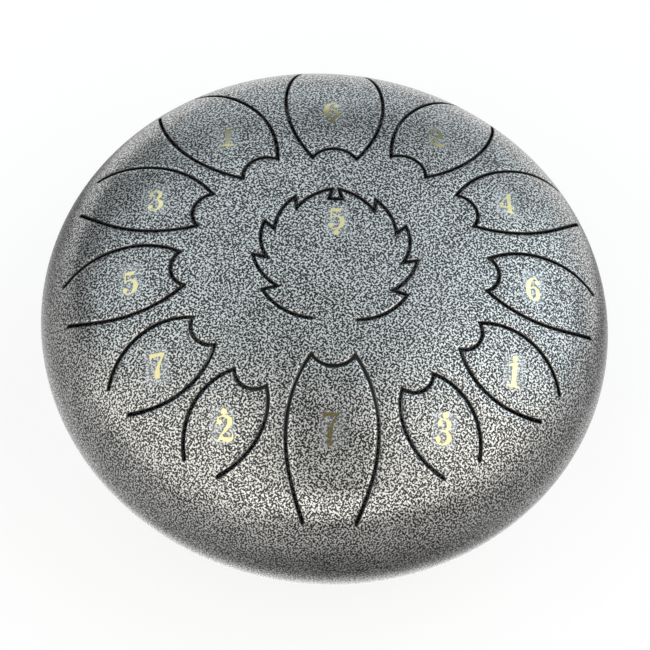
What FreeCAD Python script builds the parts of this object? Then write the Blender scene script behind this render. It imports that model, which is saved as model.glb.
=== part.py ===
"""Thirteen-note steel tongue drum, 12-inch class.

Frame: origin on the table under the drum's centre, +Z up, +Y away from the player.
Two pressed domes of the same shape meet at the rim. Thirteen tongues are cut through the upper dome:
twelve petals round the shoulder and one leaf in the middle. Lengths are in millimetres.
"""
import FreeCAD, Part
import math
import os
from collections import namedtuple

V = FreeCAD.Vector
X_AXIS, Z_AXIS = V(1, 0, 0), V(0, 0, 1)

# ---- driving dimensions -------------------------------------------------------------------------
OUTER_R = 152.5          # drum radius at the rim
HALF_HEIGHT = 71.0       # rim line to the top of a dome
RIM_R = 55.5             # radius of the arc that turns over the rim
SHOULDER_R = 166.0       # radius of the arc between rim and crown
SHOULDER_TILT = 28.3     # slope of the sheet, in degrees, where rim arc meets shoulder arc
SHEET = 1.8              # sheet thickness

RIM_GAP = 2.0            # height of the weld between the domes
BEAD = 1.2               # how far the weld's root stands into the drum

SLIT = 1.6               # width of the cuts round the tongues
ROOT_GAP = 0.05          # hairline that parts a tongue from the dome at its root
CUT_DEPTH = 20.0         # reach of the cutters past the sheet

TIP_HALF, TIP_HALF_STEP = 11.7, 0.2       # half width at a petal's tip, and its loss per note
NOTCH, NOTCH_STEP = 6.7, 0.11             # depth of the bite in a petal's tip, and its loss per note

FILM_W, FILM_H = 13.0, 20.0               # note sticker
FILM_T = 0.08
FILM_GAP = 0.02                           # paint film between steel and sticker
FILM_CORNER = 2.0

SOUND_HOLE_R = 36.0
HOLE_ROUND = 0.6         # rounding of the sound hole's edges
FOOT_CIRCLE_R = 76.0
FOOT_AZIMUTHS = (45, 135, 225, 315)
FOOT_TOP_R, FOOT_SOLE_R = 11.0, 9.0
FOOT_H = 12.5                             # from the dome to the sole, along the foot
FOOT_COLLAR = 3.0                         # straight collar under the dome, before the taper
SOLE_ROUND = 1.5
SCREW_R, SCREW_HOLE_R = 2.0, 2.25
SCREW_HEAD_R, SCREW_HEAD_H = 3.8, 2.6
HEAD_POCKET_R, HEAD_POCKET_DEPTH = 4.6, 6.5
WASHER_R, WASHER_T = 4.5, 0.8
NUT_FLATS, NUT_H = 7.0, 3.2
THREAD_CLEARANCE = 0.03
SCREW_TAIL = 1.5                          # thread that stands past the nut

# A petal tongue: azimuth of its centre line from +Y, positive to the player's left; radius of the
# tip's two points and of the root; half width at the root; bow of its two long sides.
Petal = namedtuple("Petal", "name azimuth tip root root_half bow")
PETALS = (
    Petal("low_6", -0.5, 62.0, 141.0, 16.5, 12.0),
    Petal("low_7", 180.5, 61.5, 142.0, 14.0, 11.5),
    Petal("1", 36.0, 66.5, 141.0, 12.0, 12.5),
    Petal("2", -34.0, 71.5, 141.0, 11.5, 11.0),
    Petal("3", 68.5, 73.0, 138.5, 12.0, 10.0),
    Petal("4", -64.5, 78.0, 143.0, 12.0, 10.0),
    Petal("5", 97.0, 80.0, 140.0, 12.5, 9.5),
    Petal("6", -94.0, 82.5, 140.5, 14.0, 8.5),
    Petal("7", 125.5, 82.5, 135.0, 9.5, 10.5),
    Petal("high_1", -121.5, 85.0, 136.5, 10.0, 10.5),
    Petal("high_2", 150.5, 86.0, 134.5, 10.0, 9.5),
    Petal("high_3", -148.5, 86.0, 132.5, 11.0, 9.0),
)

# The leaf tongue's right half, from the notch at its tip round to its root: corner points, and the
# bow of the curve that runs to the next corner (0 for a straight cut).
LEAF_NAME = "low_5"
LEAF_SHIFT = 1.0
LEAF_HALF = (
    ((3.6, 34.5), 0), ((1.8, 41.0), 2.2),
    ((20.5, 27.8), 0), ((21.4, 35.2), 2.4),
    ((32.3, 14.0), 0), ((37.3, 19.0), 2.9),
    ((35.8, -4.0), 0), ((43.4, -2.2), 2.3),
    ((30.4, -21.7), 0), ((38.0, -24.0), 3.9),
    ((12.0, -40.7), 0),
)

# Sticker centres in plan: distance along the petal's centre line, and for the leaf a point.
STICKER_ALONG = {
    "low_6": 96.5, "low_7": 101.5, "1": 96.0, "2": 101.0, "3": 101.0, "4": 103.0,
    "5": 107.0, "6": 107.0, "7": 111.5, "high_1": 113.0, "high_2": 113.5, "high_3": 113.5,
}
LEAF_STICKER = (1.5, 20.5)


# ---- dome profile -------------------------------------------------------------------------------
class DomeProfile:
    """Outer profile of a dome: crown, shoulder and rim arcs, tangent to each other, rim line at 0."""

    def __init__(self, offset=0.0):
        tilt = math.radians(SHOULDER_TILT)
        self.rim_centre = (OUTER_R - RIM_R, 0.0)
        self.rim_r = RIM_R + offset
        reach = SHOULDER_R - RIM_R
        self.shoulder_centre = (self.rim_centre[0] - reach * math.sin(tilt), -reach * math.cos(tilt))
        self.shoulder_r = SHOULDER_R + offset
        lift = HALF_HEIGHT - self.shoulder_centre[1] - SHOULDER_R
        crown_reach = (self.shoulder_centre[0] ** 2 + lift ** 2) / (2 * lift)
        self.crown_centre_z = HALF_HEIGHT - crown_reach - SHOULDER_R
        self.crown_r = crown_reach + SHOULDER_R + offset
        self.rim_tilt = tilt
        self.crown_tilt = math.asin(self.shoulder_centre[0] / crown_reach)

    def on_crown(self, tilt):
        return (self.crown_r * math.sin(tilt), self.crown_centre_z + self.crown_r * math.cos(tilt))

    def on_shoulder(self, tilt):
        cx, cz = self.shoulder_centre
        return (cx + self.shoulder_r * math.sin(tilt), cz + self.shoulder_r * math.cos(tilt))

    def on_rim(self, tilt):
        cx, cz = self.rim_centre
        return (cx + self.rim_r * math.sin(tilt), cz + self.rim_r * math.cos(tilt))

    def tilt_at(self, radius):
        """Slope of the surface at a radius, as the angle of its normal from the vertical."""
        if radius <= self.on_crown(self.crown_tilt)[0]:
            return math.asin(radius / self.crown_r)
        if radius <= self.on_shoulder(self.rim_tilt)[0]:
            return math.asin((radius - self.shoulder_centre[0]) / self.shoulder_r)
        return math.asin((radius - self.rim_centre[0]) / self.rim_r)

    def height_at(self, radius):
        tilt = self.tilt_at(radius)
        if radius <= self.on_crown(self.crown_tilt)[0]:
            return self.on_crown(tilt)[1]
        if radius <= self.on_shoulder(self.rim_tilt)[0]:
            return self.on_shoulder(tilt)[1]
        return self.on_rim(tilt)[1]

    def edges(self, edge_z):
        """The profile's three arcs in the XZ plane, from the pole down to height edge_z."""
        end_tilt = math.acos(edge_z / self.rim_r)
        stretches = (
            (self.on_crown, 0.0, self.crown_tilt),
            (self.on_shoulder, self.crown_tilt, self.rim_tilt),
            (self.on_rim, self.rim_tilt, end_tilt),
        )
        arcs = []
        for place, start, end in stretches:
            points = [place(start), place((start + end) / 2), place(end)]
            arcs.append(Part.Arc(*[V(x, 0, z) for x, z in points]).toShape())
        return arcs


OUTSIDE = DomeProfile()
INSIDE = DomeProfile(-SHEET)


def foot_clearance():
    """Height of the lower dome's pole above the table, set by the feet."""
    tilt = OUTSIDE.tilt_at(FOOT_CIRCLE_R)
    rise = HALF_HEIGHT - OUTSIDE.height_at(FOOT_CIRCLE_R)
    return FOOT_H * math.cos(tilt) - rise


RIM_Z = foot_clearance() + HALF_HEIGHT


# ---- shapes of sheet ------------------------------------------------------------------------------
def dome_skin(outer, inner, edge_z):
    """Solid between two profiles, turned about the Z axis, with a flat edge at height edge_z."""
    outer_arcs = outer.edges(edge_z)
    inner_arcs = inner.edges(edge_z)
    top_out, top_in = outer_arcs[0].Vertexes[0].Point, inner_arcs[0].Vertexes[0].Point
    low_out, low_in = outer_arcs[-1].Vertexes[-1].Point, inner_arcs[-1].Vertexes[-1].Point
    wire = Part.Wire(Part.__sortEdges__(
        outer_arcs + inner_arcs + [Part.makeLine(top_out, top_in), Part.makeLine(low_out, low_in)]))
    return Part.Face(wire).revolve(V(0, 0, 0), Z_AXIS, 360)


def lift_to_rim(shape, upside_down=False):
    """Move a shape drawn about the rim line to its height in the drum."""
    if upside_down:
        shape.rotate(V(0, 0, 0), X_AXIS, 180)
    shape.translate(V(0, 0, RIM_Z))
    return shape


def bowed_edge(start, end, bow):
    """Arc from start to end that stands bow away from its chord, to the left of the way it runs."""
    if bow == 0:
        return Part.makeLine(start, end)
    along = end - start
    side = V(-along.y, along.x, 0).normalize()
    middle = (start + end) * 0.5 + side * bow
    return Part.Arc(start, middle, end).toShape()


def bowed_line(start, middle, end):
    """Arc through three points, or a line where they lie in a row."""
    if (middle - start).cross(end - middle).Length < 1e-6:
        return Part.makeLine(start, end)
    return Part.Arc(start, middle, end).toShape()


def slit_stretch(edge):
    """Flat band as wide as a slit along one edge, with round ends."""
    half = SLIT / 2
    ends = (edge.FirstParameter, (edge.FirstParameter + edge.LastParameter) / 2, edge.LastParameter)
    points = [edge.valueAt(at) for at in ends]
    runs = [edge.tangentAt(at).normalize() for at in ends]
    left = [point + V(-run.y, run.x, 0) * half for point, run in zip(points, runs)]
    right = [point + V(run.y, -run.x, 0) * half for point, run in zip(points, runs)]
    far_cap = Part.Arc(left[2], points[2] + runs[2] * half, right[2]).toShape()
    near_cap = Part.Arc(right[0], points[0] - runs[0] * half, left[0]).toShape()
    return Part.Face(Part.Wire([bowed_line(*left), far_cap, bowed_line(*reversed(right)), near_cap]))


def slit_corner(edge, next_edge):
    """Flat kite that gives the corner between two edges its sharp outer point."""
    half = SLIT / 2
    corner = edge.valueAt(edge.LastParameter)
    run = edge.tangentAt(edge.LastParameter).normalize()
    next_run = next_edge.tangentAt(next_edge.FirstParameter).normalize()
    outer = -1 if run.cross(next_run).z > 0 else 1
    side = V(-run.y, run.x, 0) * outer * half
    next_side = V(-next_run.y, next_run.x, 0) * outer * half
    bisector = side + next_side
    point = bisector * (2 * half ** 2 / bisector.Length ** 2)
    return Part.Face(Part.makePolygon([corner, corner + side, corner + point, corner + next_side, corner]))


def slit_cutter(edges):
    """Upright cutter as wide as a slit, along a line of edges that run on from each other."""
    pieces = [slit_stretch(edge) for edge in edges]
    pieces += [slit_corner(edge, next_edge) for edge, next_edge in zip(edges, edges[1:])]
    uprights = []
    for piece in pieces:
        piece.translate(V(0, 0, RIM_Z - CUT_DEPTH / 2))
        uprights.append(piece.extrude(V(0, 0, HALF_HEIGHT + CUT_DEPTH)))
    return uprights[0].multiFuse(uprights[1:]).removeSplitter()


# ---- petal tongues --------------------------------------------------------------------------------
def petal_turn(petal):
    """Rotation from a petal drawn along +Y to its own place."""
    return FreeCAD.Rotation(Z_AXIS, petal.azimuth)


def petal_slit(petal, note_index):
    """The open cut round a petal: side, bitten tip, side."""
    tip_half = TIP_HALF - TIP_HALF_STEP * note_index
    notch = NOTCH - NOTCH_STEP * note_index
    root_right, root_left = V(petal.root_half, petal.root, 0), V(-petal.root_half, petal.root, 0)
    tip_right, tip_left = V(tip_half, petal.tip, 0), V(-tip_half, petal.tip, 0)
    edges = [
        bowed_edge(root_left, tip_left, -petal.bow),
        bowed_edge(tip_left, tip_right, notch),
        bowed_edge(tip_right, root_right, -petal.bow),
    ]
    cutter = slit_cutter(edges)
    cutter.rotate(V(0, 0, 0), Z_AXIS, petal.azimuth)
    return cutter


def root_cutter(distance, half_width, azimuth):
    """Hairline cutter across a tongue's root, square to the sheet."""
    tilt = math.degrees(OUTSIDE.tilt_at(distance))
    blade = Part.makeBox(2 * half_width, ROOT_GAP, CUT_DEPTH)
    blade.translate(V(-half_width, -ROOT_GAP / 2, -CUT_DEPTH / 2))
    blade.rotate(V(0, 0, 0), X_AXIS, -tilt)
    blade.translate(V(0, distance, RIM_Z + OUTSIDE.height_at(distance) - SHEET / 2))
    blade.rotate(V(0, 0, 0), Z_AXIS, azimuth)
    return blade


# ---- leaf tongue ----------------------------------------------------------------------------------
def leaf_slit():
    """The open cut round the leaf, from one side of its root round the notched tip to the other."""
    corners = [(V(x, y, 0), bow) for (x, y), bow in LEAF_HALF]
    right = [bowed_edge(corner, next_corner, bow)
             for (corner, bow), (next_corner, _) in zip(corners, corners[1:])]
    left = [bowed_edge(V(-next_corner.x, next_corner.y, 0), V(-corner.x, corner.y, 0), bow)
            for (corner, bow), (next_corner, _) in zip(corners, corners[1:])]
    notch = corners[0][0]
    bridge = Part.makeLine(V(-notch.x, notch.y, 0), notch)
    cutter = slit_cutter(left[::-1] + [bridge] + right)
    cutter.translate(V(LEAF_SHIFT, 0, 0))
    return cutter


def leaf_root():
    (half_width, y), _ = LEAF_HALF[-1]
    cutter = root_cutter(-y, half_width, 180)
    cutter.translate(V(LEAF_SHIFT, 0, 0))
    return cutter


# ---- stickers -------------------------------------------------------------------------------------
def sticker(x, y):
    """Film on the dome at plan point (x, y), upright to the player."""
    radius = math.hypot(x, y)
    tilt = OUTSIDE.tilt_at(radius)
    centre = V(x, y, RIM_Z + OUTSIDE.height_at(radius))
    outward = V(x / radius, y / radius, 0)
    normal = outward * math.sin(tilt) + Z_AXIS * math.cos(tilt)
    up = V(0, 1, 0) - normal * normal.y
    up.normalize()
    right = up.cross(normal)
    prism = Part.makeBox(FILM_W, FILM_H, CUT_DEPTH)
    upright = [edge for edge in prism.Edges if edge.BoundBox.ZLength > CUT_DEPTH / 2]
    prism = prism.makeFillet(FILM_CORNER, upright)
    prism.translate(V(-FILM_W / 2, -FILM_H / 2, -CUT_DEPTH / 2))
    turn = FreeCAD.Matrix(right.x, up.x, normal.x, centre.x, right.y, up.y, normal.y, centre.y,
                          right.z, up.z, normal.z, centre.z, 0, 0, 0, 1)
    prism.transformShape(turn)
    skin = dome_skin(DomeProfile(FILM_GAP + FILM_T), DomeProfile(FILM_GAP), RIM_GAP / 2)
    return lift_to_rim(skin).common(prism)


# ---- upper dome -----------------------------------------------------------------------------------
def plan_distance(shape, x, y):
    centre = shape.CenterOfMass
    return math.hypot(centre.x - x, centre.y - y)


def upper_parts():
    """The upper dome and its thirteen tongues, parted by the slits and the root hairlines."""
    dome = lift_to_rim(dome_skin(OUTSIDE, INSIDE, RIM_GAP / 2))
    cutters = [leaf_slit(), leaf_root()]
    for note_index, petal in enumerate(PETALS):
        cutters.append(petal_slit(petal, note_index))
        cutters.append(root_cutter(petal.root, petal.root_half, petal.azimuth))
    pieces = dome.cut(cutters).Solids
    assert len(pieces) == len(PETALS) + 2, "a slit has not parted its tongue"
    pieces.sort(key=lambda piece: piece.Volume)
    parts = {"upper_shell": pieces.pop()}
    parts["tongue_" + LEAF_NAME] = min(pieces, key=lambda piece: plan_distance(piece, 0, 0))
    for petal in PETALS:
        middle = petal_turn(petal).multVec(V(0, (petal.tip + petal.root) / 2, 0))
        nearest = min(pieces, key=lambda piece: plan_distance(piece, middle.x, middle.y))
        parts["tongue_" + petal.name] = nearest
    return parts


def stickers():
    parts = {"label_" + LEAF_NAME: sticker(*LEAF_STICKER)}
    for petal in PETALS:
        spot = petal_turn(petal).multVec(V(0, STICKER_ALONG[petal.name], 0))
        parts["label_" + petal.name] = sticker(spot.x, spot.y)
    return parts


# ---- rim weld, lower dome and feet ----------------------------------------------------------------
def rim_weld():
    """Ring that fills the gap between the domes: ground flush outside, a rounded root inside."""
    half = RIM_GAP / 2
    outer_x = OUTSIDE.on_rim(math.acos(half / RIM_R))[0]
    inner_x = INSIDE.on_rim(math.acos(half / (RIM_R - SHEET)))[0]
    corners = [V(outer_x, 0, -half), V(outer_x, 0, half), V(inner_x, 0, half), V(inner_x, 0, -half)]
    outer = Part.Arc(corners[0], V(OUTER_R, 0, 0), corners[1]).toShape()
    inner = Part.Arc(corners[2], V(inner_x - BEAD, 0, 0), corners[3]).toShape()
    wire = Part.Wire([outer, Part.makeLine(corners[1], corners[2]), inner,
                      Part.makeLine(corners[3], corners[0])])
    return lift_to_rim(Part.Face(wire).revolve(V(0, 0, 0), Z_AXIS, 360))


def foot_frame(azimuth):
    """Placement whose +Z leaves the lower dome along a foot, from the dome's outer surface."""
    tilt = math.degrees(OUTSIDE.tilt_at(FOOT_CIRCLE_R))
    down = FreeCAD.Rotation(X_AXIS, 180 + tilt)
    turn = FreeCAD.Rotation(Z_AXIS, azimuth - 90)
    seat = turn.multVec(V(0, FOOT_CIRCLE_R, RIM_Z - OUTSIDE.height_at(FOOT_CIRCLE_R)))
    return FreeCAD.Placement(seat, turn.multiply(down))


def at_foot(shape, azimuth):
    shape.Placement = foot_frame(azimuth)
    return shape


def cylinder(radius, start, end):
    """Cylinder about a foot's axis, between two distances from the dome's outer surface."""
    return Part.makeCylinder(radius, end - start, V(0, 0, start))


def rubber_foot(azimuth, dome_side):
    """Tapered foot with a pocket for the screw's head, its seat shaped to the dome, its sole level."""
    start, end = -FOOT_COLLAR, FOOT_H + FOOT_COLLAR
    taper = (FOOT_TOP_R - FOOT_SOLE_R) / (FOOT_H - FOOT_COLLAR)
    end_r = FOOT_TOP_R - taper * (end - FOOT_COLLAR)
    corners = [(SCREW_HOLE_R, start), (FOOT_TOP_R, start), (FOOT_TOP_R, FOOT_COLLAR), (end_r, end),
               (HEAD_POCKET_R, end), (HEAD_POCKET_R, FOOT_H - HEAD_POCKET_DEPTH),
               (SCREW_HOLE_R, FOOT_H - HEAD_POCKET_DEPTH), (SCREW_HOLE_R, start)]
    half_section = Part.Face(Part.makePolygon([V(x, 0, z) for x, z in corners]))
    body = at_foot(half_section.revolve(V(0, 0, 0), Z_AXIS, 360), azimuth)
    table_side = Part.makeBox(4 * OUTER_R, 4 * OUTER_R, RIM_Z, V(-2 * OUTER_R, -2 * OUTER_R, -RIM_Z))
    body = body.cut([dome_side, table_side])
    pocket_rim = 2 * math.pi * HEAD_POCKET_R
    on_table = [edge for edge in body.Edges if max(v.Z for v in edge.Vertexes) < SOLE_ROUND / 2]
    return body.makeFillet(SOLE_ROUND, [edge for edge in on_table if edge.Length > 1.5 * pocket_rim])


def foot_screw():
    """Pan-head screw from the foot's pocket, through rubber and sheet, past the nut."""
    head_start = FOOT_H - HEAD_POCKET_DEPTH
    shaft_end = -(SHEET + WASHER_T + NUT_H + SCREW_TAIL)
    head = cylinder(SCREW_HEAD_R, head_start, head_start + SCREW_HEAD_H)
    rim = [edge for edge in head.Edges if edge.BoundBox.ZLength < SCREW_HEAD_H / 2
           and edge.BoundBox.ZMax > head_start + SCREW_HEAD_H / 2]
    head = head.makeFillet(SCREW_HEAD_H / 3, rim)
    slot_w, slot_d = SCREW_HEAD_R / 3, SCREW_HEAD_H / 2
    for angle in (0, 90):
        slot = Part.makeBox(SCREW_HEAD_R, slot_w, SCREW_HEAD_H)
        slot.translate(V(-SCREW_HEAD_R / 2, -slot_w / 2, head_start + SCREW_HEAD_H - slot_d))
        slot.rotate(V(0, 0, 0), Z_AXIS, angle)
        head = head.cut(slot)
    return head.fuse(cylinder(SCREW_R - THREAD_CLEARANCE, shaft_end, head_start)).removeSplitter()


def washer_seat():
    """Distance from the dome's outer surface to the washer, which bears on the hollow inner face."""
    hollow = SHOULDER_R - SHEET
    sag = hollow - math.sqrt(hollow ** 2 - WASHER_R ** 2)
    return -(SHEET + sag + ROOT_GAP)


def foot_washer():
    seat = washer_seat()
    disc = cylinder(WASHER_R, seat - WASHER_T, seat)
    return disc.cut(cylinder(SCREW_HOLE_R, seat - 2 * WASHER_T, seat + WASHER_T))


def foot_nut():
    seat = washer_seat() - WASHER_T
    corner_r = NUT_FLATS / math.sqrt(3)
    corners = [V(corner_r * math.cos(math.radians(a)), corner_r * math.sin(math.radians(a)), seat - NUT_H)
               for a in range(0, 361, 60)]
    hexagon = Part.Face(Part.makePolygon(corners)).extrude(V(0, 0, NUT_H))
    return hexagon.cut(cylinder(SCREW_R, seat - 2 * NUT_H, seat + NUT_H))


def lower_parts():
    """Lower dome with its sound hole and screw holes, the feet, and their fasteners."""
    dome = lift_to_rim(dome_skin(OUTSIDE, INSIDE, RIM_GAP / 2), upside_down=True)
    thick_dome = lift_to_rim(dome_skin(OUTSIDE, DomeProfile(-3 * SHEET), RIM_GAP / 2), upside_down=True)
    dome = dome.cut(Part.makeCylinder(SOUND_HOLE_R, RIM_Z))
    hole_rims = [edge for edge in dome.Edges if edge.BoundBox.XMax < SOUND_HOLE_R + SHEET]
    dome = dome.makeFillet(HOLE_ROUND, [edge for edge in hole_rims if edge.BoundBox.ZLength < HOLE_ROUND])
    cutters = [at_foot(cylinder(SCREW_HOLE_R, -2 * SHEET, 2 * SHEET), azimuth) for azimuth in FOOT_AZIMUTHS]
    parts = {"lower_shell": dome.cut(cutters)}
    for number, azimuth in enumerate(FOOT_AZIMUTHS, 1):
        parts["rubber_foot_%d" % number] = rubber_foot(azimuth, thick_dome)
    for name, maker in (("foot_screws", foot_screw), ("foot_washers", foot_washer), ("foot_nuts", foot_nut)):
        parts[name] = Part.makeCompound([at_foot(maker(), azimuth) for azimuth in FOOT_AZIMUTHS])
    return parts


def main():
    os.makedirs("parts", exist_ok=True)
    parts = {}
    parts.update(upper_parts())
    parts.update(stickers())
    parts["rim_weld"] = rim_weld()
    parts.update(lower_parts())
    for name, shape in parts.items():
        shape.exportStep("parts/%s.step" % name)


main()
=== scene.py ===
"""Looks of the thirteen-note steel tongue drum, in the frame of its CAD assembly.

The two domes and the tongues are rebuilt here as fine sheet meshes with rounded lips along the slits,
and each sticker gets a raised foil numeral. The stickers' film, the rim weld, the feet and the
fasteners are the CAD nodes themselves with better materials.
Lengths are in millimetres up to the moment a mesh is made; shaders, floor and camera are in metres.
"""

import bpy
import math
from mathutils import Matrix, Vector
from mathutils.geometry import delaunay_2d_cdt
from mathutils.kdtree import KDTree

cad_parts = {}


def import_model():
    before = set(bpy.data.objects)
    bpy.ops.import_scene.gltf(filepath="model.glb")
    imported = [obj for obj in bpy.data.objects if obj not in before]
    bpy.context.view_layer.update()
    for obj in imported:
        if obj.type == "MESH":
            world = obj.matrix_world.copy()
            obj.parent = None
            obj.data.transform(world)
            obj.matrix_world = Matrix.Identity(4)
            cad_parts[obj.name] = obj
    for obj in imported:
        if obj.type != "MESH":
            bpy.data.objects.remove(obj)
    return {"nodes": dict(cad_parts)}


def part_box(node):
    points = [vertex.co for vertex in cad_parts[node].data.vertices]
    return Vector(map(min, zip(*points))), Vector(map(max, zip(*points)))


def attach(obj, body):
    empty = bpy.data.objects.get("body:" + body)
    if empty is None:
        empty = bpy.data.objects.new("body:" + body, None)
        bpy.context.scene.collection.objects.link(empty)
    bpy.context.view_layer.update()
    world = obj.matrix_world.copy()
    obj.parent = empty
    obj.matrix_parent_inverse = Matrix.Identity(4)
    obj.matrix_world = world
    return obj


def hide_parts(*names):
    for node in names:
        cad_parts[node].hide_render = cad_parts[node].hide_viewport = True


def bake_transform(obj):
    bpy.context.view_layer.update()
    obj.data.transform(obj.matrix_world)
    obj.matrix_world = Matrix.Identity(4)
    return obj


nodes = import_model()["nodes"]
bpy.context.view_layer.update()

MM = 0.001
rim_low, rim_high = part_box("rim_weld")
RIM_Z = (rim_low.z + rim_high.z) / 2 / MM        # height of the rim line above the table
OUTER_R = (rim_high.x - rim_low.x) / 2 / MM      # drum radius at the rim

# ---- the drum's own dimensions ------------------------------------------------------------------
HALF_HEIGHT = 71.0                       # pole above the rim line
RIM_R = 55.5                             # profile radius at the rim
SHOULDER_R = 166.0                       # profile radius between crown and rim
SHOULDER_TILT = math.radians(28.3)       # slope where shoulder and rim meet
SHEET = 1.8
RIM_GAP = 2.0                            # height of the weld between the domes
SLIT = 1.6
SOUND_HOLE_R = 36.0
TIP_HALF, TIP_HALF_STEP = 11.7, 0.2      # half width of the first petal's tip, and loss per petal
NOTCH, NOTCH_STEP = 6.7, 0.11            # depth of the bite in the first petal's tip, and loss per petal

# Petal tongues: name, azimuth from +Y, tip radius, root radius, half width at the root, side bow.
PETALS = (
    ("low_6", -0.5, 62.0, 141.0, 16.5, 12.0),
    ("low_7", 180.5, 61.5, 142.0, 14.0, 11.5),
    ("1", 36.0, 66.5, 141.0, 12.0, 12.5),
    ("2", -34.0, 71.5, 141.0, 11.5, 11.0),
    ("3", 68.5, 73.0, 138.5, 12.0, 10.0),
    ("4", -64.5, 78.0, 143.0, 12.0, 10.0),
    ("5", 97.0, 80.0, 140.0, 12.5, 9.5),
    ("6", -94.0, 82.5, 140.5, 14.0, 8.5),
    ("7", 125.5, 82.5, 135.0, 9.5, 10.5),
    ("high_1", -121.5, 85.0, 136.5, 10.0, 10.5),
    ("high_2", 150.5, 86.0, 134.5, 10.0, 9.5),
    ("high_3", -148.5, 86.0, 132.5, 11.0, 9.0),
)
# The leaf tongue's right half from notch to root: corner, and bow of the curve that follows it.
LEAF_HALF = (
    ((3.6, 34.5), 0), ((1.8, 41.0), 2.2),
    ((20.5, 27.8), 0), ((21.4, 35.2), 2.4),
    ((32.3, 14.0), 0), ((37.3, 19.0), 2.9),
    ((35.8, -4.0), 0), ((43.4, -2.2), 2.3),
    ((30.4, -21.7), 0), ((38.0, -24.0), 3.9),
    ((12.0, -40.7), 0),
)
LEAF_SHIFT = 1.0         # the leaf sits this far right of the middle

# ---- fineness of the meshes ---------------------------------------------------------------------
GRID = 2.8               # distance between the sheet's points
CLEAR = 1.9              # points nearer than this to a slit or a root are left out
ARC_STEP = 1.6           # distance between points along a slit
CAP_STEPS = 6            # straight pieces in the round end of a slit
LIP = 0.4                # width of the rounded lip along a cut edge
LIP_DROP = 0.24          # how far the lip sinks at the cut


# ---- dome surface -------------------------------------------------------------------------------
class Dome:
    """The dome's outer surface, rolled out flat: a point keeps its azimuth, and its distance from
    the centre becomes the length of the profile from the pole."""

    def __init__(self):
        reach = SHOULDER_R - RIM_R
        shoulder_x = OUTER_R - RIM_R - reach * math.sin(SHOULDER_TILT)
        shoulder_z = -reach * math.cos(SHOULDER_TILT)
        lift = HALF_HEIGHT - shoulder_z - SHOULDER_R
        crown_reach = (shoulder_x ** 2 + lift ** 2) / (2 * lift)
        crown_r = crown_reach + SHOULDER_R
        crown_tilt = math.asin(shoulder_x / crown_reach)
        end_tilt = math.acos(RIM_GAP / 2 / RIM_R)
        arcs = (
            (0.0, HALF_HEIGHT - crown_r, crown_r, 0.0, crown_tilt),
            (shoulder_x, shoulder_z, SHOULDER_R, crown_tilt, SHOULDER_TILT),
            (OUTER_R - RIM_R, 0.0, RIM_R, SHOULDER_TILT, end_tilt),
        )
        self.arcs = []       # length run before each arc, then the arc itself
        run = 0.0
        for centre_x, centre_z, radius, start, end in arcs:
            self.arcs.append((run, centre_x, centre_z, radius, start, end))
            run += radius * (end - start)
        self.run = run

    def flat(self, point):
        """Plan point to rolled-out point."""
        plan_r = point.length
        if plan_r < 1e-9:
            return point.copy()
        for run, centre_x, _, radius, start, end in self.arcs:
            if plan_r <= centre_x + radius * math.sin(end):
                break
        tilt = math.asin(min(1.0, (plan_r - centre_x) / radius))
        return point * ((run + radius * (tilt - start)) / plan_r)

    def profile(self, along):
        """Radius, height above the rim line and tilt of the normal, at a length from the pole."""
        for run, centre_x, centre_z, radius, start, end in self.arcs:
            tilt = start + (along - run) / radius
            if tilt <= end:
                break
        return centre_x + radius * math.sin(tilt), centre_z + radius * math.cos(tilt), tilt

    def solid(self, flat_point, depth):
        """Rolled-out point and depth below the outer surface, to a point about the rim line."""
        along = flat_point.length
        plan_r, height, tilt = self.profile(along)
        out = flat_point / along if along > 1e-9 else Vector((0.0, 0.0))
        plan_r -= depth * math.sin(tilt)
        return Vector((out.x * plan_r, out.y * plan_r, height - depth * math.cos(tilt)))

    def normal(self, flat_point):
        along = flat_point.length
        tilt = self.profile(along)[2]
        out = flat_point / along if along > 1e-9 else Vector((0.0, 0.0))
        return Vector((out.x * math.sin(tilt), out.y * math.sin(tilt), math.cos(tilt)))


DOME = Dome()


# ---- slits in plan ------------------------------------------------------------------------------
def left_of(direction):
    return Vector((-direction.y, direction.x))


def bowed(start, end, bow):
    """Points and directions along an arc that stands bow to the left of its chord."""
    chord = end - start
    run = chord.normalized()
    steps = max(2, round(chord.length / ARC_STEP))
    if bow == 0:
        return [(start.lerp(end, i / steps), run) for i in range(steps + 1)]
    half_angle = 2 * math.atan(2 * bow / chord.length)
    radius = chord.length / (2 * math.sin(half_angle))
    middle = start.lerp(end, 0.5)
    places = []
    for i in range(steps + 1):
        angle = half_angle * (2 * i / steps - 1)
        across = radius * (math.cos(angle) - math.cos(half_angle))
        point = middle + run * (radius * math.sin(angle)) + left_of(run) * across
        direction = run * math.cos(angle) - left_of(run) * math.sin(angle)
        places.append((point, direction))
    return places


def half_circle(centre, direction, radius):
    """Points round the front of a slit's end, from its left side to its right side."""
    points = []
    for i in range(1, CAP_STEPS):
        angle = math.pi * (0.5 - i / CAP_STEPS)
        ahead, across = radius * math.cos(angle), radius * math.sin(angle)
        points.append(centre + direction * ahead + left_of(direction) * across)
    return points


def mitre(places, next_places, half):
    """Sharp outer point of the corner between two strips."""
    corner, run = places[-1]
    next_run = next_places[0][1]
    outer = -1 if run.cross(next_run) > 0 else 1
    bisector = (left_of(run) + left_of(next_run)) * (outer * half)
    return corner + bisector * (2 * half ** 2 / bisector.length_squared)


def band(places, half, near_point, far_point):
    """Outline of the strip within half of a line of places. Each end is a point, or round for None."""
    left = [point + left_of(run) * half for point, run in places]
    right = [point - left_of(run) * half for point, run in places]
    far = [far_point] if far_point else half_circle(places[-1][0], places[-1][1], half)
    near = [near_point] if near_point else half_circle(places[0][0], -places[0][1], half)
    return left + far + right[::-1] + near


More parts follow.
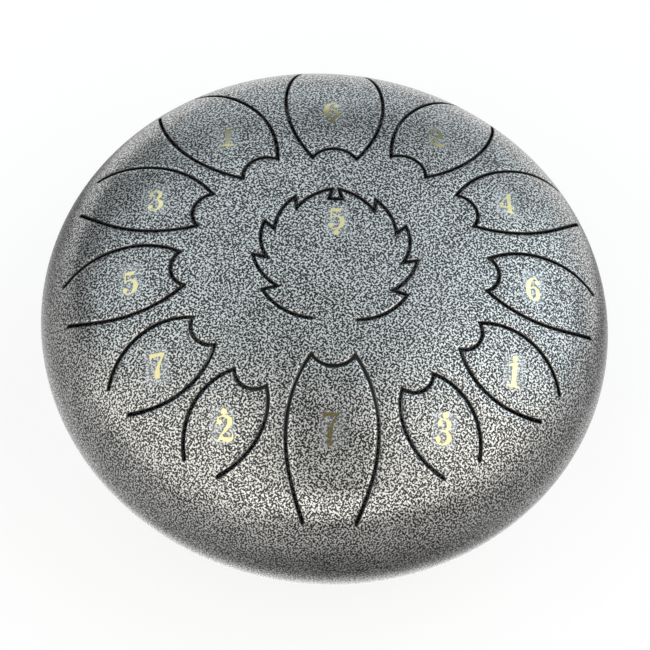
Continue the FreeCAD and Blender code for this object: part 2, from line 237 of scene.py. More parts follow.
def slit_bands(stretches, half):
    corners = [mitre(a, b, half) for a, b in zip(stretches, stretches[1:])]
    ends = [None] + corners + [None]
    return [band(places, half, near, far) for places, near, far in zip(stretches, ends, ends[1:])]


def petal_stretches(index, azimuth, tip, root, root_half, bow):
    """The three curves of a petal's slit: side, bitten tip, side."""
    tip_half = TIP_HALF - TIP_HALF_STEP * index
    notch = NOTCH - NOTCH_STEP * index
    turn = Matrix.Rotation(math.radians(azimuth), 2)
    stretches = (
        bowed(Vector((-root_half, root)), Vector((-tip_half, tip)), -bow),
        bowed(Vector((-tip_half, tip)), Vector((tip_half, tip)), notch),
        bowed(Vector((tip_half, tip)), Vector((root_half, root)), -bow),
    )
    return [[(turn @ point, turn @ run) for point, run in places] for places in stretches]


def leaf_stretches():
    """The leaf's slit, from the left end of its root round the notched tip to the right end."""
    corners = [(Vector(corner), bow) for corner, bow in LEAF_HALF]
    mirror = Matrix(((-1, 0), (0, 1)))
    right, left = [], []
    for (corner, bow), (next_corner, _) in zip(corners, corners[1:]):
        right.append(bowed(corner, next_corner, bow))
        left.append(bowed(mirror @ next_corner, mirror @ corner, bow))
    notch = corners[0][0]
    stretches = left[::-1] + [bowed(mirror @ notch, notch, 0)] + right
    shift = Vector((LEAF_SHIFT, 0))
    return [[(point + shift, run) for point, run in places] for places in stretches]


TONGUES = {"low_5": leaf_stretches()}
for petal_index, (petal_name, *petal_sizes) in enumerate(PETALS):
    TONGUES[petal_name] = petal_stretches(petal_index, *petal_sizes)


# ---- sheet meshes -------------------------------------------------------------------------------
def near_tree(points):
    tree = KDTree(len(points))
    for i, point in enumerate(points):
        tree.insert((point.x, point.y, 0), i)
    tree.balance()
    return tree


def gap_to(tree, point):
    return tree.find((point.x, point.y, 0))[2]


def fine(points, step=0.3):
    """The same line with points no further apart than step."""
    dense = []
    for a, b in zip(points, points[1:]):
        count = max(1, math.ceil((b - a).length / step))
        dense += [a.lerp(b, i / count) for i in range(count)]
    return dense + [points[-1]]


def counter_clockwise(outline):
    area = sum(a.cross(b) for a, b in zip(outline, outline[1:] + outline[:1]))
    return outline if area > 0 else outline[::-1]


def grid_points(run):
    """Rings of points over the rolled-out dome, each turned half a step from the one before."""
    rings = round(run / GRID)
    points = [Vector((0.0, 0.0))]
    for ring in range(1, rings + 1):
        along = run * ring / rings
        count = round(2 * math.pi * along / GRID)
        for i in range(count):
            angle = 2 * math.pi * (i + ring % 2 / 2) / count
            points.append(Vector((math.cos(angle), math.sin(angle))) * along)
    return points


def triangulate(points, outlines):
    """Triangles over all points, and for each triangle the outlines it lies in."""
    coordinates = list(points)
    faces = []
    for outline in outlines:
        start = len(coordinates)
        coordinates += counter_clockwise(outline)
        faces.append(list(range(start, len(coordinates))))
    places, _, triangles, _, _, inside = delaunay_2d_cdt(coordinates, [], faces, 0, 1e-4)
    return places, triangles, inside


def closed_sheet(name, flat_points, triangles, top_depth, bottom_depth, place):
    """Closed mesh from a patch of triangles: outer face, inner face and the walls between them."""
    used = sorted({i for triangle in triangles for i in triangle})
    index = {old: new for new, old in enumerate(used)}
    count = len(used)
    depths = [top_depth(flat_points[i]) for i in used]
    vertices = [place(flat_points[i], depth) * MM for i, depth in zip(used, depths)]
    vertices += [place(flat_points[i], bottom_depth) * MM for i in used]
    faces = [tuple(index[i] for i in triangle) for triangle in triangles]
    outer_faces = len(faces)
    edges = {edge for a, b, c in faces for edge in ((a, b), (b, c), (c, a))}
    faces += [(c + count, b + count, a + count) for a, b, c in faces]
    faces += [(a, a + count, b + count, b) for a, b in sorted(edges) if (b, a) not in edges]
    mesh = bpy.data.meshes.new(name)
    mesh.from_pydata(vertices, [], faces)
    mesh.shade_smooth()
    mesh.set_sharp_from_angle(angle=math.radians(40))
    plan = [axis * MM for i in used for axis in (*flat_points[i], 0.0)]
    rolled_out = mesh.attributes.new("rolled_out", "FLOAT_VECTOR", "POINT")
    rolled_out.data.foreach_set("vector", plan + plan)
    edge = mesh.attributes.new("lip", "FLOAT", "POINT")
    edge.data.foreach_set("value", [depth / LIP_DROP for depth in depths] + [0.0] * count)
    mesh.polygons.foreach_set("material_index", [int(i >= outer_faces) for i in range(len(faces))])
    piece = bpy.data.objects.new(name, mesh)
    bpy.context.scene.collection.objects.link(piece)
    return piece


def lip_depth(distance_past_cut):
    """How far the painted surface sinks near a cut edge."""
    nearness = 1 - min(1.0, max(0.0, distance_past_cut / LIP))
    return LIP_DROP * nearness ** 2


def at_rim_line(flat_point, depth):
    return DOME.solid(flat_point, depth) + Vector((0, 0, RIM_Z))


def upside_down(flat_point, depth):
    point = DOME.solid(flat_point, depth)
    return Vector((point.x, -point.y, RIM_Z - point.z))


def centre_line(stretches):
    """One line of points through all the stretches of a slit."""
    line = [stretches[0][0][0]]
    for places in stretches:
        line += [point for point, _ in places[1:]]
    return line


def upper_sheets():
    """The upper dome and its tongues as separate meshes that share their roots' points."""
    outlines, kinds, slit_line, root_line = [], [], [], []
    for name, stretches in TONGUES.items():
        for half, kind in ((SLIT / 2, "gap"), (SLIT / 2 + LIP, "lip")):
            shapes = slit_bands(stretches, half)
            outlines += shapes
            kinds += [kind] * len(shapes)
        line = centre_line(stretches)
        root = [point for point, _ in bowed(line[-1], line[0], 0)]
        outlines.append(line + root[1:-1])
        kinds.append(name)
        slit_line += fine(line)
        root_line += root
    slit_tree = near_tree(slit_line)
    flat_outlines = [[DOME.flat(point) for point in outline] for outline in outlines]
    keep_clear = near_tree([DOME.flat(point) for point in slit_line + root_line])
    points = [point for point in grid_points(DOME.run) if gap_to(keep_clear, point) > CLEAR]
    places, triangles, inside = triangulate(points, flat_outlines)
    patches = {name: [] for name in TONGUES}
    patches["shell"] = []
    for triangle, around in zip(triangles, inside):
        found = {kinds[i] for i in around}
        if "gap" in found:
            continue
        tongue = found - {"lip"}
        patches[tongue.pop() if tongue else "shell"].append(triangle)

    def depth(flat_point):
        plan = at_rim_line(flat_point, 0).to_2d()
        return lip_depth(gap_to(slit_tree, plan) - SLIT / 2)

    sheets = {}
    for name, patch in patches.items():
        piece_name = "drum_top" if name == "shell" else "tongue_" + name + "_sheet"
        sheets[name] = closed_sheet(piece_name, places, patch, depth, SHEET, at_rim_line)
    return sheets


def lower_sheet():
    """The lower dome with its sound hole."""
    hole = DOME.flat(Vector((SOUND_HOLE_R, 0))).x
    outlines = []
    for radius in (hole, hole + LIP / 2, hole + LIP):
        steps = round(2 * math.pi * radius / ARC_STEP)
        angles = [2 * math.pi * i / steps for i in range(steps)]
        outlines.append([Vector((math.cos(angle), math.sin(angle))) * radius for angle in angles])
    points = [point for point in grid_points(DOME.run) if point.length > hole + CLEAR]
    places, triangles, inside = triangulate(points, outlines)
    patch = [triangle for triangle, around in zip(triangles, inside) if 0 not in around]

    def depth(flat_point):
        return lip_depth(flat_point.length - hole)

    return closed_sheet("drum_bottom", places, patch, depth, SHEET, upside_down)


# ---- foil numerals ------------------------------------------------------------------------------
FOIL_TOP, FOIL_BOTTOM = 0.135, 0.105     # height of the foil over the paint
GLYPH_W, GLYPH_H = 9.0, 14.0
DOT_R, DOT_GAP = 1.65, 1.9               # octave dot, and its centre's distance from the numeral
CURVE_STEPS = 7                          # straight pieces between two stations of a stroke
DISC_STEPS = 22
SURFACE_STEPS = 4                        # steps that bring a numeral's point down to the dome
# How far each numeral sits from the middle of its film, to the right and up.
OFF_CENTRE = {
    "low_5": (0.0, -0.9), "low_6": (-1.6, 0.0), "low_7": (-1.3, 0.0), "2": (-1.0, 0.0), "3": (0.0, -0.9),
    "5": (0.0, -2.0), "6": (0.0, -1.4), "high_2": (1.0, 0.0), "high_3": (0.0, 0.9),
}


def disc(x, y, radius):
    angles = [2 * math.pi * i / DISC_STEPS for i in range(DISC_STEPS)]
    return [[(x + radius * math.cos(angle), y + radius * math.sin(angle)) for angle in angles]]


def stroke(*stations):
    """Pen stroke through stations of x, y and half width, as a chain of four-sided pieces."""
    stations = [Vector(station) for station in stations]
    padded = [2 * stations[0] - stations[1]] + stations + [2 * stations[-1] - stations[-2]]
    centre = []
    for before, start, end, after in zip(padded, padded[1:], padded[2:], padded[3:]):
        for i in range(CURVE_STEPS):
            t = i / CURVE_STEPS
            centre.append(0.5 * (2 * start + (end - before) * t
                                 + (2 * before - 5 * start + 4 * end - after) * t ** 2
                                 + (3 * start - before - 3 * end + after) * t ** 3))
    centre.append(stations[-1])
    sides = []
    for i, place in enumerate(centre):
        run = (centre[min(i + 1, len(centre) - 1)] - centre[max(i - 1, 0)]).to_2d().normalized()
        across = left_of(run) * place.z
        sides.append((place.to_2d() + across, place.to_2d() - across))
    return [[a, b, d, c] for (a, b), (c, d) in zip(sides, sides[1:])]


GLYPHS = {
    "1": [[(3.3, 0.5), (6.1, 0.5), (6.1, 14), (4.9, 14), (3.3, 13.2)],
          [(3.6, 13.4), (1.1, 12.0), (1.1, 11.3), (3.6, 11.7)],
          [(1.0, 0), (8.3, 0), (8.3, 0.9), (6.1, 1.5), (3.3, 1.5), (1.0, 0.9)]],
    "2": disc(1.9, 10.6, 1.35)
    + stroke((0.8, 10.4, 0.2), (1.6, 12.8, 0.35), (4.3, 13.7, 0.4), (7.0, 12.3, 1.0), (7.3, 9.8, 1.25),
             (5.6, 6.9, 0.8), (2.9, 4.1, 0.45), (0.9, 1.2, 0.35))
    + stroke((0.8, 0.5, 0.4), (2.2, 1.9, 0.6), (4.6, 1.3, 1.1), (6.8, 1.0, 1.05), (8.3, 1.9, 0.5),
             (8.7, 4.0, 0.15)),
    "3": disc(1.9, 11.0, 1.3) + disc(1.75, 3.0, 1.35)
    + stroke((0.9, 11.5, 0.2), (2.3, 13.3, 0.35), (4.6, 13.5, 0.5), (6.7, 12.0, 1.0), (6.7, 9.6, 1.0),
             (5.2, 7.8, 0.45), (3.2, 7.3, 0.3))
    + stroke((3.2, 7.3, 0.3), (5.7, 7.1, 0.5), (7.3, 5.4, 1.15), (7.4, 2.8, 1.2), (5.2, 0.6, 0.55),
             (2.6, 0.5, 0.4), (0.7, 2.4, 0.2)),
    "4": [[(5.1, 0.4), (7.4, 0.4), (7.4, 14), (6.2, 14), (5.1, 12.4)],
          [(6.2, 14), (5.4, 11.9), (1.5, 4.7), (0.2, 4.4)],
          [(0.2, 4.4), (0.9, 3.2), (9.0, 3.2), (9.0, 4.5)],
          [(3.6, 0), (8.9, 0), (8.9, 0.9), (7.4, 1.4), (5.1, 1.4), (3.6, 0.9)]],
    "5": stroke((1.6, 13.4, 0.35), (3.6, 12.7, 1.1), (5.8, 12.8, 1.05), (7.6, 13.8, 0.2))
    + [[(1.4, 13.7), (2.3, 13.5), (2.1, 7.3), (1.3, 6.8)]]
    + stroke((1.5, 7.0, 0.25), (3.3, 8.5, 0.45), (5.6, 8.4, 0.65), (7.4, 6.6, 1.2), (7.4, 3.4, 1.25),
             (5.4, 0.9, 0.6), (2.9, 0.5, 0.4), (0.7, 2.2, 0.25))
    + disc(1.8, 2.9, 1.35),
    "6": disc(6.9, 11.3, 1.3)
    + stroke((7.8, 12.0, 0.2), (6.4, 13.5, 0.35), (4.3, 13.3, 0.5), (2.3, 10.9, 1.1), (1.6, 7.0, 1.3),
             (2.2, 3.0, 1.15), (4.4, 0.5, 0.5), (6.7, 1.6, 0.95), (7.5, 4.3, 1.2), (6.7, 7.0, 0.95),
             (4.8, 8.2, 0.45), (2.8, 7.0, 0.4)),
    "7": [[(0.7, 10.4), (1.5, 10.4), (2.0, 11.4), (2.0, 14), (0.7, 14)],
          [(0.8, 14), (1.5, 11.7), (8.8, 12.3), (8.9, 14)]]
    + stroke((8.4, 13.2, 0.6), (6.6, 9.6, 0.6), (5.1, 6.1, 0.95), (4.5, 2.6, 1.35), (4.6, 0.1, 1.3)),
}


def glyph_outlines(note):
    """Outlines of a note's numeral, centred on its sticker."""
    octave, _, digit = note.rpartition("_")
    outlines = GLYPHS[digit]
    low, high = 0.0, GLYPH_H
    if octave == "low":
        outlines = outlines + disc(GLYPH_W / 2, low - DOT_GAP, DOT_R)
        low -= DOT_GAP + DOT_R
    if octave == "high":
        outlines = outlines + disc(GLYPH_W / 2, high + DOT_GAP, DOT_R)
        high += DOT_GAP + DOT_R
    middle = Vector((GLYPH_W / 2, (low + high) / 2)) - Vector(OFF_CENTRE.get(note, (0.0, 0.0)))
    return [[Vector(corner) - middle for corner in outline] for outline in outlines]


def numeral(note):
    """Thin foil numeral that follows the dome, on a note's sticker."""
    film_low, film_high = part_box("label_" + note)
    spot = DOME.flat(((film_low + film_high) / 2 / MM).to_2d())
    centre, normal = DOME.solid(spot, 0), DOME.normal(spot)
    up = (Vector((0, 1, 0)) - normal * normal.y).normalized()
    right = up.cross(normal)

    def place(glyph_point, depth):
        point = centre + right * glyph_point.x + up * glyph_point.y
        for _ in range(SURFACE_STEPS):
            below = DOME.flat(point.to_2d())
            surface = DOME.solid(below, 0)
            point = point - normal * ((point.z - surface.z) * DOME.normal(below).z)
        return at_rim_line(DOME.flat(point.to_2d()), depth)

    places, triangles, inside = triangulate([], glyph_outlines(note))
    patch = [triangle for triangle, around in zip(triangles, inside) if around]
    return closed_sheet("numeral_" + note, places, patch, lambda _: -FOIL_TOP, -FOIL_BOTTOM, place)


# ---- materials ----------------------------------------------------------------------------------
class Shader:
    """Short names for building a material's or a world's nodes."""

    def __init__(self, owner):
        owner.use_nodes = True
        self.tree = owner.node_tree
        self.tree.nodes.clear()

    def node(self, kind, settings=None, **inputs):
        made = self.tree.nodes.new(kind)
        for name, value in (settings or {}).items():
            setattr(made, name, value)
        for name, value in inputs.items():
            self.feed(made.inputs[name.replace("_", " ")], value)
        return made

    def feed(self, socket, value):
        if isinstance(value, bpy.types.NodeSocket):
            self.tree.links.new(value, socket)
        else:
            socket.default_value = value

    def math(self, operation, *values, clamp=False):
        made = self.tree.nodes.new("ShaderNodeMath")
        made.operation, made.use_clamp = operation, clamp
        for socket, value in zip(made.inputs, values):
            self.feed(socket, value)
        return made.outputs[0]

    def ramp(self, value, low, high, start=0.0, end=1.0):
        """Value from low to high as start to end, eased at both."""
        made = self.tree.nodes.new("ShaderNodeMapRange")
        made.interpolation_type = "SMOOTHSTEP"
        for socket, given in zip(made.inputs, (value, low, high, start, end)):
            self.feed(socket, given)
        return made.outputs[0]

    def blend(self, share, first, second):
        """Value between two values."""
        made = self.tree.nodes.new("ShaderNodeMix")
        self.feed(made.inputs["Factor"], share)
        self.feed(made.inputs["A"], first)
        self.feed(made.inputs["B"], second)
        return made.outputs["Result"]

    def mix(self, share, first, second):
        """Colour between two colours."""
        made = self.tree.nodes.new("ShaderNodeMix")
        made.data_type = "RGBA"
        self.feed(made.inputs["Factor"], share)
        self.feed(made.inputs["A"], first)
        self.feed(made.inputs["B"], second)
        return made.outputs["Result"]

    def either(self, share, first, second):
        """Shader between two shaders."""
        made = self.tree.nodes.new("ShaderNodeMixShader")
        for socket, given in zip(made.inputs, (share, first, second)):
            self.feed(socket, given)
        return made.outputs[0]

    def toward(self, x, y, azimuth):
        """Share of a horizontal vector that points to an azimuth, measured from +Y towards +X."""
        turn = math.radians(azimuth)
        x_share = self.math("MULTIPLY", x, math.sin(turn))
        return self.math("ADD", x_share, self.math("MULTIPLY", y, math.cos(turn)))

    def noise(self, place, scale, detail=2.0, roughness=0.5):
        made = self.node("ShaderNodeTexNoise", Vector=place, Scale=scale, Detail=detail, Roughness=roughness)
        return made.outputs["Fac"]

    def output(self, surface):
        kind = "ShaderNodeOutputWorld" if surface.node.type == "BACKGROUND" else "ShaderNodeOutputMaterial"
        self.node(kind, Surface=surface)


def grey(value, warmth=0.0):
    return (value * (1 + warmth), value, value * (1 - warmth), 1)


SPECKLE = 960.0              # noise cells per metre in the hammer finish
SPECKLE_TURN = 0.6           # turns the speckle away from the axes, in radians
SPECKLE_BEND = 0.5           # how far the speckle is bent out of its square cells
VEIN = (0.505, 0.567)        # noise levels between which vein turns to flake
LIP_SHADE = 0.15              # share of the lip's drop past which the lip is painted dark, as painted shade along the cut


def hammered_paint(name, on_sheet):
    """Silver hammer-finish enamel: bright flake islands between dark, sunken veins; the lips along cut edges
    get the dark vein colour as painted shade.
    """
    material = bpy.data.materials.new(name)
    shader = Shader(material)
    if on_sheet:
        rolled_out = shader.node("ShaderNodeAttribute", {"attribute_name": "rolled_out"}).outputs["Vector"]
        turned = shader.node("ShaderNodeVectorRotate", Vector=rolled_out, Angle=SPECKLE_TURN)
        place = turned.outputs["Vector"]
    else:
        place = shader.node("ShaderNodeTexCoord").outputs["Object"]
    grain = shader.node(
        "ShaderNodeTexNoise", {"noise_dimensions": "2D" if on_sheet else "3D"},
        Vector=place, Scale=SPECKLE, Detail=0.0, Distortion=SPECKLE_BEND).outputs["Fac"]
    cloud = shader.noise(place, 55.0, 2.0)
    patch = shader.noise(place, 9.0, 2.0)
    level = shader.math("ADD", grain, shader.ramp(cloud, 0.3, 0.7, -0.02, 0.02))
    lip = shader.node("ShaderNodeAttribute", {"attribute_name": "lip"}).outputs["Fac"]
    # painted shade: near a cut edge the flake is taken away, so the lip takes the dark vein colour
    clear_of_lip_shade = shader.ramp(lip, 0.0, LIP_SHADE, 1.0, 0.0)
    flake = shader.math("MULTIPLY", shader.ramp(level, *VEIN), clear_of_lip_shade)
    silver = shader.mix(shader.ramp(patch, 0.3, 0.7), grey(0.7, 0.0), grey(0.79, 0.01))
    colour = shader.mix(flake, grey(0.01, -0.03), silver)
    bump = shader.node("ShaderNodeBump", Strength=0.35, Distance=0.0002, Height=flake)
    surface = shader.node(
        "ShaderNodeBsdfPrincipled", Base_Color=colour, Metallic=shader.ramp(flake, 0.0, 1.0, 0.1, 0.85),
        Roughness=shader.ramp(cloud, 0.3, 0.7, 0.28, 0.36), Coat_Weight=0.4, Coat_Roughness=0.12,
        Normal=bump.outputs["Normal"])
    shader.output(surface.outputs[0])
    return material


def shaded_raw_steel():
    """Unpainted sheet inside the drum and in the slits: dull, with a little scale, and near black as painted
    shade for the drum's dark inside.
    """
    material = bpy.data.materials.new("shaded_raw_steel")
    shader = Shader(material)
    place = shader.node("ShaderNodeTexCoord").outputs["Object"]
    scale = shader.noise(place, 60.0, 4.0, 0.6)
    grain = shader.noise(place, 900.0, 2.0)
    # near-black colours stand in as painted shade inside the drum; the blotches between them are the sheet's
    # own scale
    colour = shader.mix(shader.ramp(scale, 0.35, 0.7), grey(0.015), grey(0.03, 0.12))
    bump = shader.node("ShaderNodeBump", Strength=0.2, Distance=0.0001, Height=grain)
    surface = shader.node(
        "ShaderNodeBsdfPrincipled", Base_Color=colour, Metallic=0.2, Specular_IOR_Level=0.1,
        Roughness=shader.ramp(scale, 0.3, 0.7, 0.5, 0.7), Normal=bump.outputs["Normal"])
    shader.output(surface.outputs[0])
    return material


def foil():
    """Hot-stamped gold foil with faint ripples."""
    material = bpy.data.materials.new("gold_foil")
    shader = Shader(material)
    place = shader.node("ShaderNodeTexCoord").outputs["Object"]
    ripple = shader.noise(place, 350.0, 2.0)
    wear = shader.noise(place, 1400.0, 2.0)
    colour = shader.mix(shader.ramp(ripple, 0.3, 0.7), (1.0, 0.865, 0.47, 1), (0.97, 0.825, 0.41, 1))
    bump = shader.node("ShaderNodeBump", Strength=0.06, Distance=0.0001, Height=ripple)
    surface = shader.node(
        "ShaderNodeBsdfPrincipled", Base_Color=colour, Metallic=1.0,
        Roughness=shader.ramp(wear, 0.35, 0.75, 0.15, 0.22), Normal=bump.outputs["Normal"])
    shader.output(surface.outputs[0])
    return material


def clear_film():
    """Thin glossy film: seen only from its outer side, it veils the paint a little."""
    material = bpy.data.materials.new("clear_film")
    shader = Shader(material)
    place = shader.node("ShaderNodeTexCoord").outputs["Object"]
    haze = shader.noise(place, 260.0, 2.0)
    ripple = shader.noise(place, 120.0, 1.0)
    bump = shader.node("ShaderNodeBump", Strength=0.05, Distance=0.0002, Height=ripple)
    gloss = shader.node(
        "ShaderNodeBsdfPrincipled", Base_Color=grey(0.66, -0.05), Metallic=0.7, Roughness=0.28,
        Coat_Weight=0.6, Coat_Roughness=0.08, Normal=bump.outputs["Normal"])
    clear = shader.node("ShaderNodeBsdfTransparent")
    back = shader.node("ShaderNodeNewGeometry").outputs["Backfacing"]
    veil = shader.math("MULTIPLY", shader.ramp(haze, 0.3, 0.7, 0.2, 0.3), shader.math("SUBTRACT", 1.0, back))
    veil = shader.math("MULTIPLY", veil, shader.node("ShaderNodeLightPath").outputs["Is Camera Ray"])
    shader.output(shader.either(veil, clear.outputs[0], gloss.outputs[0]))
    return material


def rubber():
    material = bpy.data.materials.new("black_rubber")
    shader = Shader(material)
    place = shader.node("ShaderNodeTexCoord").outputs["Object"]
    grain = shader.noise(place, 900.0, 3.0)
    dust = shader.noise(place, 45.0, 4.0, 0.6)
    colour = shader.mix(shader.ramp(dust, 0.45, 0.75), grey(0.016), grey(0.05, 0.05))
    bump = shader.node("ShaderNodeBump", Strength=0.25, Distance=0.0002, Height=grain)
    surface = shader.node(
        "ShaderNodeBsdfPrincipled", Base_Color=colour, Roughness=shader.ramp(dust, 0.4, 0.8, 0.55, 0.8),
        Normal=bump.outputs["Normal"])
    shader.output(surface.outputs[0])
    return material


def zinc():
    """Bright zinc-plated steel with fine drawn lines and dulled patches."""
    material = bpy.data.materials.new("zinc_steel")
    shader = Shader(material)
    place = shader.node("ShaderNodeTexCoord").outputs["Object"]
    patch = shader.noise(place, 160.0, 3.0)
    scratch = shader.noise(place, 2600.0, 2.0)
    colour = shader.mix(shader.ramp(patch, 0.35, 0.7), (0.62, 0.63, 0.64, 1), (0.5, 0.49, 0.45, 1))
    bump = shader.node("ShaderNodeBump", Strength=0.15, Distance=0.00005, Height=scratch)
    surface = shader.node(
        "ShaderNodeBsdfPrincipled", Base_Color=colour, Metallic=1.0,
        Roughness=shader.ramp(patch, 0.3, 0.7, 0.25, 0.45), Normal=bump.outputs["Normal"])
    shader.output(surface.outputs[0])
    return material


def dress(piece, *materials):
    piece.data.materials.clear()
    for material in materials:
        piece.data.materials.append(material)


sheet_paint = hammered_paint("hammered_paint", True)
ring_paint = hammered_paint("hammered_paint_weld", False)
inside_steel, foil_gold, film, black_rubber, zinc_steel = shaded_raw_steel(), foil(), clear_film(), rubber(), zinc()

sheets = upper_sheets()
top = sheets.pop("shell")
bottom = lower_sheet()
for sheet_piece, node_name in ((top, "upper_shell"), (bottom, "lower_shell")):
    dress(sheet_piece, sheet_paint, inside_steel)
    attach(sheet_piece, "drum")
    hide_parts(node_name)

for note, sheet_piece in sheets.items():
    dress(sheet_piece, sheet_paint, inside_steel)
    slit_ends = centre_line(TONGUES[note])
    root_middle = (slit_ends[0] + slit_ends[-1]) / 2
    inward = left_of(slit_ends[-1] - slit_ends[0]).normalized()
    if inward.dot(slit_ends[len(slit_ends) // 2] - root_middle) < 0:
        inward = -inward
    start = at_rim_line(DOME.flat(root_middle), 0) * MM
    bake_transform(sheet_piece)
    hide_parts("tongue_" + note)
    numeral_piece = numeral(note)
    dress(numeral_piece, foil_gold, foil_gold)
    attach(numeral_piece, "tongue_" + note)
    dress(nodes["label_" + note], film)

dress(nodes["rim_weld"], ring_paint)
for foot_index in range(1, 5):
    dress(nodes["rubber_foot_" + str(foot_index)], black_rubber)
for fastener in ("foot_screws", "foot_washers", "foot_nuts"):
    dress(nodes[fastener], zinc_steel)


# ---- studio -------------------------------------------------------------------------------------
FLOOR_REACH = 6.0
FLOOR_GLOW, FLOOR_SHADE = 0.8, 0.2       # the camera's floor: its own glow, and how much shade it takes
GLOW_START = (0.05, 0.1)                 # that glow begins this far from the middle; the dark disc within it is painted shade under the drum

# The floor as the drum's paint mirrors it, glowing as painted light: dim, with bright glowing patches, and
# dark near the middle as painted shade under the drum. All distances are from the middle.
FLOOR_DIM, UNDER_DRUM_SHADE = 0.12, (0.1, 0.17)
RING = 1.6                               # strength of the glowing ring of floor under the drum's outline, painted light
RING_IN, RING_OUT = (0.08, 0.1), (0.19, 0.13)
SIDES, SIDES_OUT = 0.9, (0.32, 0.15)     # the floor just left and right of the drum
# Patches: azimuth from +Y, distances where the patch starts and is full, where it fades, strength.
FLOOR_PATCHES = (
    ("left", -118.0, (0.06, 0.25), (5.0, 6.0), 0.48),
    ("behind", 11.0, (0.12, 0.26), (1.0, 3.0), 1.0),
    ("right front", 125.0, (0.1, 0.3), (5.0, 6.0), 0.38),
)

# Soft lights round the drum: azimuth from +Y (right of the player is positive), half width, lowest
# and highest elevation in degrees, strength.
LAMPS = (
    ("left back", -48.0, 42.0, 27.0, 80.0, 0.95),
    ("back", 5.0, 30.0, 31.0, 62.0, 0.74),
    ("back right", 36.0, 17.0, 18.0, 50.0, 0.85),
    ("right", 76.0, 40.0, 12.0, 80.0, 1.5),
    ("right front", 126.0, 27.0, 12.0, 80.0, 1.3),
    ("high right", 68.0, 52.0, 48.0, 80.0, 1.5),
    ("left front", -125.0, 38.0, -4.0, 80.0, 1.35),
    ("front", 180.0, 32.0, 16.0, 42.0, 1.85),
    ("far wall", 18.0, 38.0, -4.0, 9.0, 1.2),
    ("far window", -4.0, 12.0, 5.0, 17.0, 0.9),
    ("right wall", 85.0, 45.0, -8.0, 14.0, 0.75),
)
SOFT_EDGE = 5.0              # blur of a light's edges, in degrees
AMBIENT = 0.08
# The dark strip overhead, as slopes from the vertical: its middle, half width, and front and back ends.
STRIP_MIDDLE, STRIP = 0.05, (0.12, 0.26)
STRIP_FRONT, STRIP_BACK = (-0.7, -1.2), (0.3, 0.6)
LOW_Z = 0.02                 # least height of a direction used in those slopes
BACKDROP = 0.96              # what the camera sees past the floor
COOL, WARM = (0.87, 1.0, 1.06, 1), (1.02, 1.0, 0.93, 1)
WARM_TO_COOL = (-0.3, 0.6)   # slopes away from the player between which warm light turns cool


def studio_floor():
    """Pale floor, clear from underneath. The camera sees it glowing and a little lit, with painted shade
    where the glow stops under the drum; the drum's paint sees a dimmer glowing one, which is painted light.
    """
    mesh = bpy.data.meshes.new("studio_floor")
    corners = [(x * FLOOR_REACH, y * FLOOR_REACH, 0) for x, y in ((-1, -1), (1, -1), (1, 1), (-1, 1))]
    mesh.from_pydata(corners, [], [(0, 1, 2, 3)])
    floor = bpy.data.objects.new("studio_floor", mesh)
    bpy.context.scene.collection.objects.link(floor)
    material = bpy.data.materials.new("studio_floor")
    shader = Shader(material)
    place = shader.node("ShaderNodeTexCoord").outputs["Object"]
    distance = shader.node("ShaderNodeVectorMath", {"operation": "LENGTH"}, Vector=place).outputs["Value"]
    split = shader.node("ShaderNodeSeparateXYZ", Vector=place)
    # the camera's floor glows evenly except near the middle, where the missing glow is painted shade under
    # the drum
    seen = shader.node(
        "ShaderNodeBsdfPrincipled", Base_Color=grey(FLOOR_SHADE), Roughness=0.9, Emission_Color=grey(1.0),
        Emission_Strength=shader.ramp(distance, *GLOW_START, 0.0, FLOOR_GLOW))
    level = FLOOR_DIM
    for _, azimuth, (start, full), (fading, gone), strength in FLOOR_PATCHES:
        toward = shader.toward(split.outputs["X"], split.outputs["Y"], azimuth)
        patch = shader.math(
            "MULTIPLY", shader.ramp(toward, start, full, 0.0, strength), shader.ramp(distance, gone, fading))
        level = shader.math("MAXIMUM", level, patch)
    # painted shade: the glow that the paint mirrors fades out under the drum
    level = shader.math("MULTIPLY", level, shader.ramp(distance, *UNDER_DRUM_SHADE))
    ring = shader.math(
        "MULTIPLY", shader.ramp(distance, *RING_IN, 0.0, RING), shader.ramp(distance, *RING_OUT))
    sideways = shader.math("DIVIDE", split.outputs["X"], shader.math("MAXIMUM", distance, 0.01))
    beside = shader.math("MULTIPLY", sideways, sideways)
    sides = shader.math("MULTIPLY", beside, shader.ramp(distance, *SIDES_OUT, 0.0, SIDES))
    level = shader.math("MAXIMUM", level, shader.math("MAXIMUM", ring, sides))
    # painted light: for all rays but the camera's the floor glows at this level, and the paint mirrors that
    # glow
    painted_reflection_glow = shader.node("ShaderNodeEmission", Color=grey(1.0), Strength=level)
    to_camera = shader.node("ShaderNodeLightPath").outputs["Is Camera Ray"]
    from_below = shader.node("ShaderNodeNewGeometry").outputs["Backfacing"]
    upper_side = shader.either(to_camera, painted_reflection_glow.outputs[0], seen.outputs[0])
    clear = shader.node("ShaderNodeBsdfTransparent")
    shader.output(shader.either(from_below, upper_side, clear.outputs[0]))
    dress(floor, material)


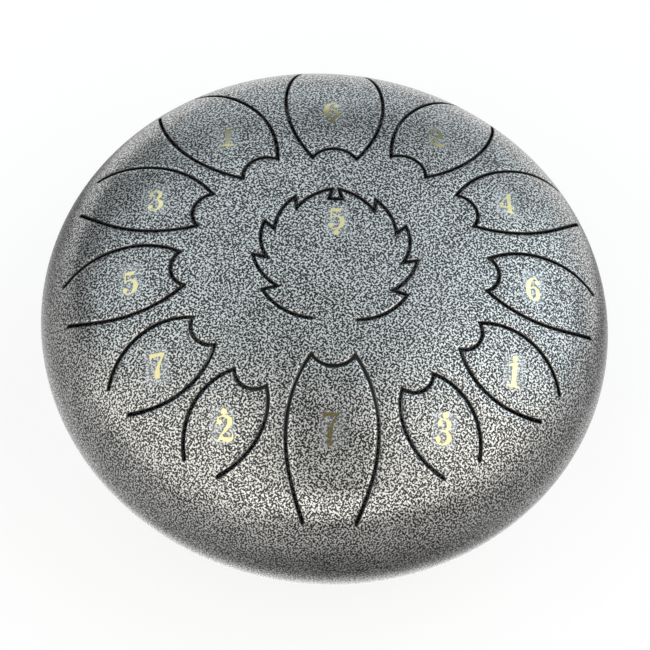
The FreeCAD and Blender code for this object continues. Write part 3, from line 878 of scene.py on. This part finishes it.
def studio_light():
    """World made of soft lights, with a dark strip overhead between the left and right ones."""
    world = bpy.data.worlds.new("studio")
    bpy.context.scene.world = world
    shader = Shader(world)
    direction = shader.node("ShaderNodeTexCoord").outputs["Generated"]
    x, y, z = shader.node("ShaderNodeSeparateXYZ", Vector=direction).outputs
    square = shader.math("ADD", shader.math("MULTIPLY", x, x), shader.math("MULTIPLY", y, y))
    level = shader.math("MAXIMUM", shader.math("SQRT", square), 0.001)
    elevation = shader.math("DEGREES", shader.math("ARCTAN2", z, level))
    x_level, y_level = shader.math("DIVIDE", x, level), shader.math("DIVIDE", y, level)
    rise = shader.math("MAXIMUM", z, LOW_Z)
    sideways, away = shader.math("DIVIDE", x, rise), shader.math("DIVIDE", y, rise)
    total = AMBIENT
    for _, azimuth, half_width, low, high, strength in LAMPS:
        toward = shader.toward(x_level, y_level, azimuth)
        edge_out = math.cos(math.radians(half_width + SOFT_EDGE))
        edge_in = math.cos(math.radians(half_width - SOFT_EDGE))
        light = shader.math("MULTIPLY", shader.ramp(toward, edge_out, edge_in, 0.0, strength),
                            shader.ramp(elevation, low - SOFT_EDGE, low + SOFT_EDGE))
        light = shader.math("MULTIPLY", light, shader.ramp(elevation, high + SOFT_EDGE, high - SOFT_EDGE))
        total = shader.math("MAXIMUM", total, light)
    off_middle = shader.math("ABSOLUTE", shader.math("SUBTRACT", sideways, STRIP_MIDDLE))
    beside_strip = shader.ramp(off_middle, *STRIP)
    past_strip = shader.math(
        "ADD", shader.ramp(away, *STRIP_FRONT), shader.ramp(away, *STRIP_BACK), clamp=True)
    shown = shader.math("MAXIMUM", beside_strip, past_strip)
    to_camera = shader.node("ShaderNodeLightPath").outputs["Is Camera Ray"]
    lamp = shader.node(
        "ShaderNodeBackground",
        Color=shader.mix(to_camera, shader.mix(shader.ramp(away, *WARM_TO_COOL), WARM, COOL), grey(1.0)),
        Strength=shader.blend(to_camera, shader.blend(shown, AMBIENT, total), BACKDROP))
    shader.output(lamp.outputs[0])


studio_floor()
studio_light()

# ---- camera -------------------------------------------------------------------------------------
CAMERA_ELEVATION = math.radians(57.373)
CAMERA_ROLL = math.radians(6.64)
CAMERA_TURN = math.radians(-5.215)
CAMERA_DISTANCE = 2.745
CAMERA_RISE = -0.00034
CAMERA_LENS = 282.8

back = Vector((0, -math.cos(CAMERA_ELEVATION), math.sin(CAMERA_ELEVATION)))
level_up = Vector((0, math.sin(CAMERA_ELEVATION), math.cos(CAMERA_ELEVATION)))
right = Vector((math.cos(CAMERA_ROLL), 0, 0)) + level_up * math.sin(CAMERA_ROLL)
up = back.cross(right)
turn = Matrix.Rotation(CAMERA_TURN, 3, "Z")
back, right, up = turn @ back, turn @ right, turn @ up
place = Vector((0, 0, RIM_Z * MM)) + back * CAMERA_DISTANCE + up * CAMERA_RISE
camera_data = bpy.data.cameras.new("camera")
camera_data.lens, camera_data.sensor_width = CAMERA_LENS, 36.0
camera_data.clip_end = 100.0
camera = bpy.data.objects.new("camera", camera_data)
camera.matrix_world = Matrix.Translation(place) @ Matrix((right, up, back)).transposed().to_4x4()
bpy.context.scene.collection.objects.link(camera)
bpy.context.scene.camera = camera
bpy.context.scene.view_settings.view_transform = "Standard"
